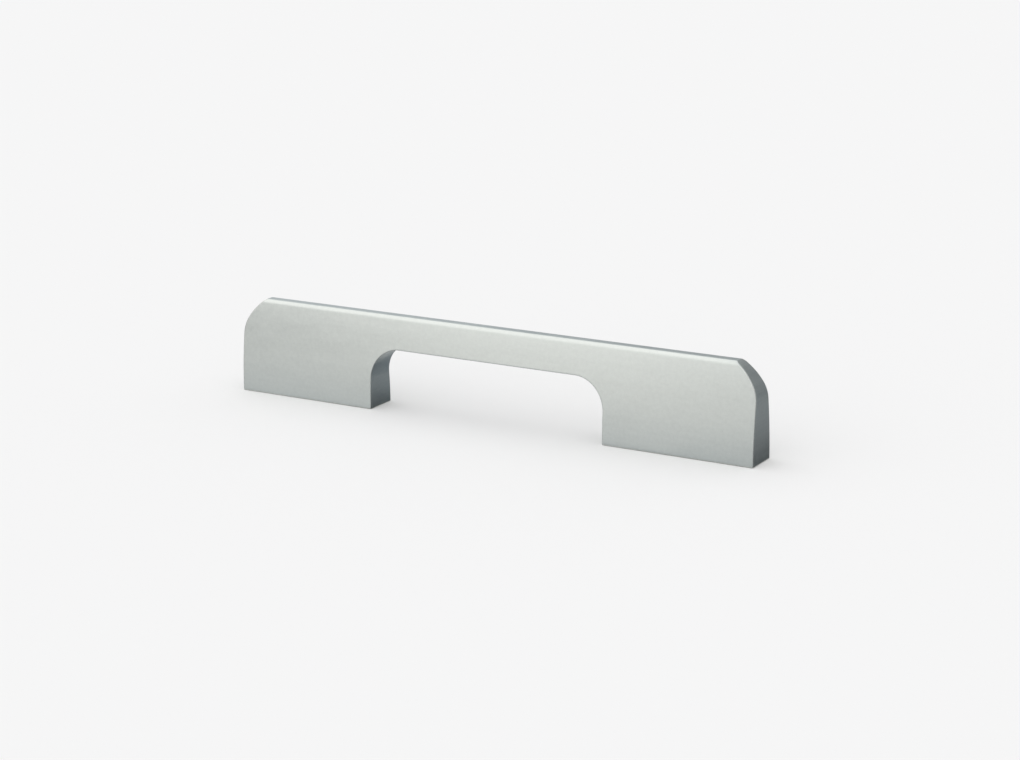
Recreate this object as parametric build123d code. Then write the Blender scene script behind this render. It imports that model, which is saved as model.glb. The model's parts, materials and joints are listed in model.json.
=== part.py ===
from build123d import *
import math
import os

# Furniture handle milled from one length of extruded aluminium bar.
# Millimetres, +Z up. The origin is the centre of the mounting plane, midway between the screws.
# X runs along the handle, -Y is its front flank and +Y its back flank.

# Bar section, seen along X
BASE_THICKNESS = 11.2
HEIGHT = 29.3
TOP_FLAT_WIDTH = 2.2
TOP_EDGE_RADIUS = 1.3

# Feet: each carries a screw at its middle, and the finger window lies between them
SCREW_SPACING = 128.0
FOOT_WIDTH = 47.9
WINDOW_HEIGHT = 19.3
WINDOW_CORNER_RADIUS = 9.8

# Upper corner of each end: a large arc from the end face to the top, blended into the face
END_ARC_DROP = 9.0
END_ARC_INSET = 7.3
END_ARC_RADIUS = 18.4
END_BLEND_RADIUS = 10.1

# Tapped M4 holes for the cabinet screws
TAP_DRILL_DIAMETER = 3.3
TAP_DRILL_DEPTH = 12.0
DRILL_POINT_ANGLE = 118.0
MOUTH_DIAMETER = 4.4

# Edges that a cutter leaves sharp turn by more than this angle, and are broken
EDGE_BREAK = 0.15
SHARP_ANGLE = 15.0

# How far the cutting shapes run past the bar
CUT_CLEARANCE = 1.0

half_length = (SCREW_SPACING + FOOT_WIDTH) / 2
window_width = SCREW_SPACING - FOOT_WIDTH
half_thickness = BASE_THICKNESS / 2
half_flat = TOP_FLAT_WIDTH / 2

# Each flank arc stands upright on the base and runs tangent into the radius beside the flat top
edge_centre = HEIGHT - TOP_EDGE_RADIUS
lean = half_thickness - half_flat
flank_radius = (lean**2 + edge_centre**2 - TOP_EDGE_RADIUS**2) / (2 * (lean - TOP_EDGE_RADIUS))
flank_centre = flank_radius - half_thickness
flank_angle = math.degrees(math.atan2(edge_centre, flank_radius - lean))
edge_angle = 90 - flank_angle

with BuildPart() as bar:
    with BuildSketch(Plane.YZ):
        with BuildLine():
            Line((-half_thickness, 0), (half_thickness, 0))
            CenterArc((-flank_centre, 0), flank_radius, 0, flank_angle)
            CenterArc((half_flat, edge_centre), TOP_EDGE_RADIUS, flank_angle, edge_angle)
            Line((half_flat, HEIGHT), (-half_flat, HEIGHT))
            CenterArc((-half_flat, edge_centre), TOP_EDGE_RADIUS, 90, edge_angle)
            CenterArc((flank_centre, 0), flank_radius, 180 - flank_angle, flank_angle)
        make_face()
    extrude(amount=half_length + CUT_CLEARANCE, both=True)

# The end arc passes through a point on the end face and a point on the top
face_point = Vector(half_length, HEIGHT - END_ARC_DROP)
top_point = Vector(half_length - END_ARC_INSET, HEIGHT)
chord = top_point - face_point
centre_offset = math.sqrt(END_ARC_RADIUS**2 - (chord.length / 2) ** 2)
arc_centre = face_point + chord / 2 + chord.normalized().rotate(Axis.Z, 90) * centre_offset
face_angle = math.degrees(math.atan2(face_point.Y - arc_centre.Y, face_point.X - arc_centre.X))
top_angle = math.degrees(math.atan2(top_point.Y - arc_centre.Y, top_point.X - arc_centre.X))
# The cutter leaves the bar a little past the top
exit_angle = top_angle + math.degrees(CUT_CLEARANCE / END_ARC_RADIUS)

with BuildSketch(Plane.XZ) as outline:
    with BuildLine():
        bottom = Line((0, -CUT_CLEARANCE), (half_length, -CUT_CLEARANCE))
        Line(bottom @ 1, face_point)
        arc = CenterArc(arc_centre, END_ARC_RADIUS, face_angle, exit_angle - face_angle)
        Line(arc @ 1, (0, (arc @ 1).Y))
        mirror(about=Plane.YZ)
    make_face()
    for end in (-1, 1):
        corner = outline.vertices().sort_by_distance((end * face_point.X, face_point.Y))[0]
        fillet(corner, END_BLEND_RADIUS)
    # Finger window, open at the base
    with BuildSketch(mode=Mode.PRIVATE) as window:
        with Locations((0, WINDOW_HEIGHT)):
            Rectangle(
                window_width,
                WINDOW_HEIGHT + 2 * CUT_CLEARANCE,
                align=(Align.CENTER, Align.MAX),
            )
        fillet(window.vertices().group_by(Axis.Y)[-1], WINDOW_CORNER_RADIUS)
    add(window.sketch, mode=Mode.SUBTRACT)

blank = bar.part & extrude(outline.sketch, half_thickness + CUT_CLEARANCE, both=True)


def is_sharp(edge):
    """True where the two faces beside the edge turn by more than SHARP_ANGLE."""
    beside = [face for face in blank.faces() if any(edge.is_same(e) for e in face.edges())]
    first, second = (face.normal_at(edge @ 0.5) for face in beside)
    return first.get_angle(second) > SHARP_ANGLE


handle = fillet([edge for edge in blank.edges() if is_sharp(edge)], EDGE_BREAK)

# Tapping hole in each foot: countersunk mouth, drilled wall, drill point
drill_radius = TAP_DRILL_DIAMETER / 2
mouth_radius = MOUTH_DIAMETER / 2
point_depth = drill_radius / math.tan(math.radians(DRILL_POINT_ANGLE / 2))
with BuildPart() as drilling:
    with BuildSketch(Plane.XZ):
        with BuildLine():
            Polyline(
                (0, -CUT_CLEARANCE),
                (mouth_radius + CUT_CLEARANCE, -CUT_CLEARANCE),
                (drill_radius, mouth_radius - drill_radius),
                (drill_radius, TAP_DRILL_DEPTH),
                (0, TAP_DRILL_DEPTH + point_depth),
                close=True,
            )
        make_face()
    revolve(axis=Axis.Z)
for end in (-1, 1):
    handle -= Pos(end * SCREW_SPACING / 2, 0, 0) * drilling.part

handle.label = "handle"
os.makedirs("parts", exist_ok=True)
export_step(handle, "parts/handle.step")
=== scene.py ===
import json
import math

import bpy
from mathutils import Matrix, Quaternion, Vector


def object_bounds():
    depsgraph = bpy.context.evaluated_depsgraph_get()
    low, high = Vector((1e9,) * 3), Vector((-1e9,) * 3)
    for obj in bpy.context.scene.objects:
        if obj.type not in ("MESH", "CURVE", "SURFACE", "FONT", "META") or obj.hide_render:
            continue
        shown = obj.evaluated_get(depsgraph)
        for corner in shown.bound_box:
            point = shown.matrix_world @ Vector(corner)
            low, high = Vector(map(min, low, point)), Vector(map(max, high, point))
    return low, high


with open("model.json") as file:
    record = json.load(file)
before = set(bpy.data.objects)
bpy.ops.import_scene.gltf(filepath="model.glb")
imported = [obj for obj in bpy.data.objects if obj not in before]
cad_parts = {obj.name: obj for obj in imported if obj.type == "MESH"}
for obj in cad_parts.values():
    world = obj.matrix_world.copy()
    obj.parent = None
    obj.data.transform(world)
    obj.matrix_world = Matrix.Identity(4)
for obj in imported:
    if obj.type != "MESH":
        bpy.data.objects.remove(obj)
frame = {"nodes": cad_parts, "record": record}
cad_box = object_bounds()

MM = 0.001

# The handle, in millimetres, as the frame has it
mounts = {mount["name"]: mount for mount in frame["record"]["mounts"]}
SCREW_SPACING = mounts["screw_holes"]["dims"]["spacing_x_mm"]
HALF_LENGTH = cad_box[1][0] / MM
HALF_THICKNESS = cad_box[1][1] / MM
# A foot reaches as far inwards from its screw as it does outwards
HALF_WINDOW = SCREW_SPACING - HALF_LENGTH

# Camera: it looks down on the front flank from the right
VIEW_AZIMUTH = math.radians(30.58)
VIEW_ELEVATION = math.radians(15.23)
VIEW_ROLL = math.radians(-0.671)
VIEW_DISTANCE = 717.5 * MM
AIM_POINT = Vector((6.15, 0, 13.82)) * MM
FOCAL_LENGTH = 85.42
SENSOR_WIDTH = 36.0

# Room: the same white behind the handle and in its reflections, and an even light from all around
BACKDROP_TONE = 0.922
BACKDROP_WHITE = (BACKDROP_TONE, BACKDROP_TONE, BACKDROP_TONE, 1)
LIGHT_WHITE = (1, 1, 1, 1)
ROOM_LIGHT = 0.768
FLOOR_PAPER = (0.907, 0.902, 0.897, 1)
FLOOR_HALF = 4.0
FLOOR_GAP = 0.05 * MM

# Softbox high in front, on the left
SOFTBOX_AZIMUTH = math.radians(-50)
SOFTBOX_ELEVATION = math.radians(61)
SOFTBOX_SPREAD = math.radians(115)
SOFTBOX_STRENGTH = 0.94
SOFTBOX_COLOUR = (0.95, 0.97, 1.0)

# Glowing cards, seen only in the metal's reflections, where they paint darker and lighter reflections, in
# millimetres; the lying ones clear the floor
CARD_LIFT = 0.2
# A darker tone is cooler: what a card's red loses and its blue gains as it nears black
CARD_COOLNESS = 0.13
# Some cards are cooler by this much more
EXTRA_COOLNESS = 0.05

# Satin anodised aluminium: how rough it is, and how wide its broken edges look
SILVER = (0.652, 0.672, 0.636)
BLAST_ROUGHNESS = 0.36
PATCHY_ROUGHNESS = 0.1
EDGE_SOFTNESS = 0.6 * MM
EDGE_SAMPLES = 6

# Marks in the surface: their fineness, in cells per millimetre along X, Y and Z
BLAST_CELLS = (3.2, 3.2, 3.2)
SPECKLE_CELLS = (0.9, 0.9, 0.9)
MOTTLE_CELLS = (0.12, 0.25, 0.25)
DIE_LINE_CELLS = (0.03, 0.8, 0.8)
CUTTER_CELLS = (2.2, 0.03, 2.2)

# How many finer layers each mark has
BLAST_DETAIL = 1.0
PATCH_DETAIL = 3.0
CUTTER_DETAIL = 2.0

# How far each mark changes the brightness; the last is painted shade, how much darker the broken edges
# are painted
BLAST_SHADE = 0.05
SPECKLE_SHADE = 0.14
MOTTLE_SHADE = 0.05
DIE_LINE_SHADE = 0.05
CUTTER_SHADE = 0.16
EDGE_PAINTED_SHADE = 0.3

# How deep each mark is, in millimetres
BLAST_RELIEF = 0.008
SPECKLE_RELIEF = 0.02
CUTTER_RELIEF = 0.012

# A face counts as cut, or as a broken edge, as its normal turns from the first share to the second
CUT_TURN = (0.05, 0.3)
EDGE_TURN = (0.08, 0.3)

# M4 thread in the two bores, in millimetres
THREAD_PITCH = 0.7
THREAD_DEPTH = 0.35
THREAD_RADIUS = 2.0
THREAD_START = 0.6
THREAD_END = 10.5


def facing(azimuth, elevation):
    """Unit vector from the handle towards an azimuth and an elevation; azimuth 0 is the front."""
    return Vector(
        (
            math.sin(azimuth) * math.cos(elevation),
            -math.cos(azimuth) * math.cos(elevation),
            math.sin(elevation),
        )
    )


def make_camera():
    data = bpy.data.cameras.new("camera")
    data.sensor_width = SENSOR_WIDTH
    data.lens = FOCAL_LENGTH
    camera = bpy.data.objects.new("camera", data)
    towards_camera = facing(VIEW_AZIMUTH, VIEW_ELEVATION)
    camera.location = AIM_POINT + towards_camera * VIEW_DISTANCE
    camera.rotation_mode = "QUATERNION"
    upright = (-towards_camera).to_track_quat("-Z", "Y")
    camera.rotation_quaternion = upright @ Quaternion((0, 0, 1), VIEW_ROLL)
    bpy.context.scene.collection.objects.link(camera)
    bpy.context.scene.camera = camera


class Signal:
    """A shader value. Arithmetic on it adds Math nodes."""

    def __init__(self, finish, socket):
        self.finish = finish
        self.socket = socket

    def maths(self, operation, *terms):
        return self.finish.node("ShaderNodeMath", {"operation": operation}, *terms).value()

    def __add__(self, other):
        return self.maths("ADD", self, other)

    __radd__ = __add__

    def __sub__(self, other):
        return self.maths("SUBTRACT", self, other)

    def __rsub__(self, other):
        return self.maths("SUBTRACT", other, self)

    def __mul__(self, other):
        return self.maths("MULTIPLY", self, other)

    def __truediv__(self, other):
        return self.maths("DIVIDE", self, other)

    def __gt__(self, other):
        return self.maths("GREATER_THAN", self, other)

    def __lt__(self, other):
        return self.maths("LESS_THAN", self, other)

    def __neg__(self):
        return self.maths("MULTIPLY", self, -1.0)

    def __abs__(self):
        return self.maths("ABSOLUTE", self)

    def larger(self, other):
        return self.maths("MAXIMUM", self, other)

    def part(self, axis):
        return self.finish.node("ShaderNodeSeparateXYZ", None, self).out(axis)

    def rise(self, start, end):
        """0 below start, 1 above end, smooth between."""
        smooth = {"interpolation_type": "SMOOTHSTEP"}
        return self.finish.node("ShaderNodeMapRange", smooth, self, start, end).value()


class Node:
    """One shader node and its outputs."""

    def __init__(self, finish, node):
        self.finish = finish
        self.node = node

    def out(self, name):
        return Signal(self.finish, self.node.outputs[name])

    def value(self):
        return Signal(self.finish, self.node.outputs[0])


class Finish:
    """A node tree under construction."""

    def __init__(self, owner):
        owner.use_nodes = True
        self.tree = owner.node_tree
        self.tree.nodes.clear()

    def node(self, kind, settings=None, *inputs, **named):
        """Adds a node: its settings first, then its sockets by order or by name."""
        made = self.tree.nodes.new(kind)
        for key, setting in (settings or {}).items():
            setattr(made, key, setting)
        sockets = list(enumerate(inputs)) + [(k.replace("_", " "), v) for k, v in named.items()]
        for key, given in sockets:
            target = made.inputs[key]
            if isinstance(given, Signal):
                self.tree.links.new(given.socket, target)
            else:
                target.default_value = given
        return Node(self, made)

    def vector(self, operation, *inputs, **named):
        return self.node("ShaderNodeVectorMath", {"operation": operation}, *inputs, **named).value()

    def place(self):
        """Where a point lies on the handle, in millimetres."""
        return self.vector("SCALE", self.node("ShaderNodeTexCoord").out("Object"), Scale=1 / MM)

    def cloud(self, place, cells_per_mm, detail):
        """Noise about zero, with its own fineness along each axis."""
        noise_middle = 0.5
        spot = self.vector("MULTIPLY", place, cells_per_mm)
        noise = self.node("ShaderNodeTexNoise", None, Vector=spot, Scale=1.0, Detail=detail)
        return noise.value() - noise_middle


def make_world():
    world = bpy.data.worlds.new("studio")
    bpy.context.scene.world = world
    finish = Finish(world)
    path = finish.node("ShaderNodeLightPath")
    seen = path.out("Is Camera Ray") + path.out("Is Glossy Ray") + path.out("Is Transmission Ray")
    lit = finish.node("ShaderNodeBackground", None, Color=LIGHT_WHITE, Strength=ROOM_LIGHT)
    shown = finish.node("ShaderNodeBackground", None, Color=BACKDROP_WHITE, Strength=1.0)
    both = finish.node("ShaderNodeMixShader", None, seen, lit.value(), shown.value())
    finish.node("ShaderNodeOutputWorld", None, Surface=both.value())


def flat_sheet(name, corners, paint):
    """One flat piece of the studio; paint makes its surface in a node tree."""
    mesh = bpy.data.meshes.new(name)
    mesh.from_pydata(corners, [], [tuple(range(len(corners)))])
    material = bpy.data.materials.new(name)
    finish = Finish(material)
    finish.node("ShaderNodeOutputMaterial", None, Surface=paint(finish).value())
    mesh.materials.append(material)
    sheet = bpy.data.objects.new(name, mesh)
    bpy.context.scene.collection.objects.link(sheet)
    return sheet


def make_floor():
    def paper(finish):
        return finish.node("ShaderNodeBsdfDiffuse", None, Color=FLOOR_PAPER)

    signs = ((-1, -1), (1, -1), (1, 1), (-1, 1))
    flat_sheet("floor", [(x * FLOOR_HALF, y * FLOOR_HALF, -FLOOR_GAP) for x, y in signs], paper)


def make_softbox():
    data = bpy.data.lights.new("softbox", "SUN")
    data.angle = SOFTBOX_SPREAD
    data.energy = SOFTBOX_STRENGTH
    data.color = SOFTBOX_COLOUR
    lamp = bpy.data.objects.new("softbox", data)
    lamp.rotation_mode = "QUATERNION"
    towards = facing(SOFTBOX_AZIMUTH, SOFTBOX_ELEVATION)
    lamp.rotation_quaternion = (-towards).to_track_quat("-Z", "Y")
    bpy.context.scene.collection.objects.link(lamp)


def lying(left, right, near, far, height=CARD_LIFT):
    """Corners of a level card, from the near left one round to the far left one."""
    return [(x, y, height) for x, y in ((left, near), (right, near), (right, far), (left, far))]


def standing(start, end, foot, top):
    """Corners of an upright card, from the foot of its start round to the top of its start."""
    return [(*place, height) for place, height in ((start, foot), (end, foot), (end, top), (start, top))]


def make_reflection_card(name, corners, tones, cooler=0.0):
    """A glowing card that paints a reflection, seen only in the metal's reflections, with its own tone at
    each corner, blended between them.
    """

    def glow(finish):
        tone = finish.node("ShaderNodeVertexColor", {"layer_name": "tone"})
        return finish.node("ShaderNodeEmission", None, Color=tone.value())

    card = flat_sheet(name, [Vector(place) * MM for place in corners], glow)
    colours = card.data.color_attributes.new("tone", "FLOAT_COLOR", "POINT")
    for spot, tone in zip(colours.data, tones):
        coolness = CARD_COOLNESS * (1 - tone / BACKDROP_TONE) + cooler
        spot.color = (tone * (1 - coolness), tone, tone * (1 + coolness), 1)
    card.visible_camera = False
    card.visible_diffuse = False
    card.visible_shadow = False


def make_cards_for_the_window():
    """Around the left foot's inner face, and behind the window: painted reflections, the darkest ones
    painted shade beside the foot and in the window.
    """
    left, right = -HALF_WINDOW, 14
    front, middle, back = -7, 16, 95
    make_reflection_card(
        "card_beside_left_foot",
        lying(left, right, front, middle),
        tones=(0.05, 0.16, 0.27, 0.13),
        cooler=EXTRA_COOLNESS,
    )
    make_reflection_card(
        "card_in_window",
        lying(left, right, middle, back),
        tones=(0.20, 0.08, 0.30, 0.42),
        cooler=EXTRA_COOLNESS,
    )
    make_reflection_card(
        "card_left_of_window",
        lying(left=-80, right=left, near=20, far=60),
        tones=(0.80, 0.42, 0.92, 0.92),
    )


def make_cards_for_the_end():
    """Around the right end's face: dark painted reflections, painted shade in the end's face."""
    left, middle, right = HALF_LENGTH, 125, 260
    front, back = -10, 105
    make_reflection_card("card_beside_end", lying(left, middle, front, back), tones=(0.09, 0.36, 0.44, 0.12))
    make_reflection_card("card_right_of_end", lying(middle, right, front, back), tones=(0.22, 0.22, 0.22, 0.22))
    make_reflection_card(
        "card_behind_end",
        standing(start=(60, back), end=(right, back), foot=0, top=130),
        tones=(0.21, 0.18, 0.28, 0.24),
    )


def make_cards_for_the_top():
    """Behind the flat top, and above the right end of its front edge: painted reflections, a dark one for
    the dark line along the top and a lighter one that dims the highlight's right end.
    """
    behind = 45
    make_reflection_card(
        "card_behind_top",
        standing(start=(-130, behind), end=(80, behind), foot=27, top=80),
        tones=(0.36, 0.08, 0.80, 0.92),
        cooler=EXTRA_COOLNESS,
    )
    make_reflection_card(
        "card_above_end",
        lying(left=68, right=100, near=-40, far=10, height=60),
        tones=(0.92, 0.85, 0.85, 0.92),
        cooler=EXTRA_COOLNESS,
    )


def make_cards_for_the_front_flank():
    """On the floor in front, painted reflections: a narrow dark one along the feet, a painted contact
    shadow, and darker ones near the feet; and upright ones at both sides.
    """
    left, middle, right = -160, 62, 110
    at_feet = -HALF_THICKNESS - 0.1
    before_feet, front = -7.5, -130
    # Painted shadow: a dark card along the feet that stands in for their contact shadow in the
    # reflections
    make_reflection_card(
        "painted_shadow_along_feet",
        lying(left, right, at_feet, before_feet),
        tones=(0.54, 0.42, 0.60, 0.64),
    )
    make_reflection_card(
        "card_in_front",
        lying(left, middle, before_feet, front),
        tones=(0.64, 0.66, 0.92, 0.92),
    )
    make_reflection_card(
        "card_right_of_front",
        lying(middle, right, before_feet, front),
        tones=(0.60, 0.54, 0.90, 0.92),
    )
    make_reflection_card(
        "card_at_left",
        standing(start=(-238, -320), end=(-400, 0), foot=0, top=100),
        tones=(0.28, 0.28, 0.90, 0.90),
    )
    make_reflection_card(
        "card_at_right",
        standing(start=(-62, -390), end=(120, -390), foot=0, top=160),
        tones=(0.30, 0.30, 0.74, 0.74),
    )


def thread(place):
    """Right-handed thread grooves in the two tapped bores, as relief in millimetres."""
    half_turn = 0.5
    x, y, z = (place.part(axis) for axis in "XYZ")
    beside = x - x.maths("SIGN", x) * (SCREW_SPACING / 2)
    turn = y.maths("ARCTAN2", y, beside) / math.tau
    groove = turn.maths("PINGPONG", z / THREAD_PITCH - turn, half_turn)
    radius = x.maths("SQRT", beside * beside + y * y)
    inside = (radius < THREAD_RADIUS) * (z > THREAD_START) * (z < THREAD_END)
    return groove * inside * (THREAD_DEPTH / half_turn)


def anodised_aluminium():
    material = bpy.data.materials.new("anodised_aluminium")
    finish = Finish(material)
    place = finish.place()
    normal = finish.node("ShaderNodeNewGeometry").out("Normal")

    # Faces that a cutter made after the extrusion, and the broken edges around them, which are painted
    # darker as painted shade
    turned = abs(normal.part("X")).larger(-normal.part("Z"))
    cut = turned.rise(*CUT_TURN)
    edge = (turned * abs(normal.part("Y"))).rise(*EDGE_TURN)

    # Bead blasting, soft patches, the extrusion's lines along the bar and the cutter's lines across it
    blast = finish.cloud(place, BLAST_CELLS, BLAST_DETAIL)
    speckle = finish.cloud(place, SPECKLE_CELLS, PATCH_DETAIL)
    mottle = finish.cloud(place, MOTTLE_CELLS, PATCH_DETAIL)
    die_lines = finish.cloud(place, DIE_LINE_CELLS, PATCH_DETAIL) * (1.0 - cut)
    cutter_marks = finish.cloud(place, CUTTER_CELLS, CUTTER_DETAIL) * cut

    brightness = (
        1.0
        + blast * BLAST_SHADE
        + speckle * SPECKLE_SHADE
        + mottle * MOTTLE_SHADE
        + die_lines * DIE_LINE_SHADE
        + cutter_marks * CUTTER_SHADE
        # Painted shade: the broken edges are painted darker
        - edge * EDGE_PAINTED_SHADE
    )
    colour = finish.vector("SCALE", SILVER, Scale=brightness)
    roughness = (mottle + speckle + cutter_marks) * PATCHY_ROUGHNESS + BLAST_ROUGHNESS
    marks = blast * BLAST_RELIEF + speckle * SPECKLE_RELIEF + cutter_marks * CUTTER_RELIEF
    softened = finish.node("ShaderNodeBevel", {"samples": EDGE_SAMPLES}, Radius=EDGE_SOFTNESS)
    bump = finish.node(
        "ShaderNodeBump",
        None,
        Distance=MM,
        Height=marks + thread(place),
        Normal=softened.value(),
    )
    metal = finish.node(
        "ShaderNodeBsdfPrincipled",
        None,
        Base_Color=colour,
        Metallic=1.0,
        Roughness=roughness,
        Normal=bump.value(),
    )
    finish.node("ShaderNodeOutputMaterial", None, Surface=metal.value())
    return material


bpy.context.scene.view_settings.view_transform = "Standard"
make_camera()
make_world()
make_floor()
make_softbox()
make_cards_for_the_window()
make_cards_for_the_end()
make_cards_for_the_top()
make_cards_for_the_front_flank()

handle = frame["nodes"]["handle"]
handle.data.materials.clear()
handle.data.materials.append(anodised_aluminium())
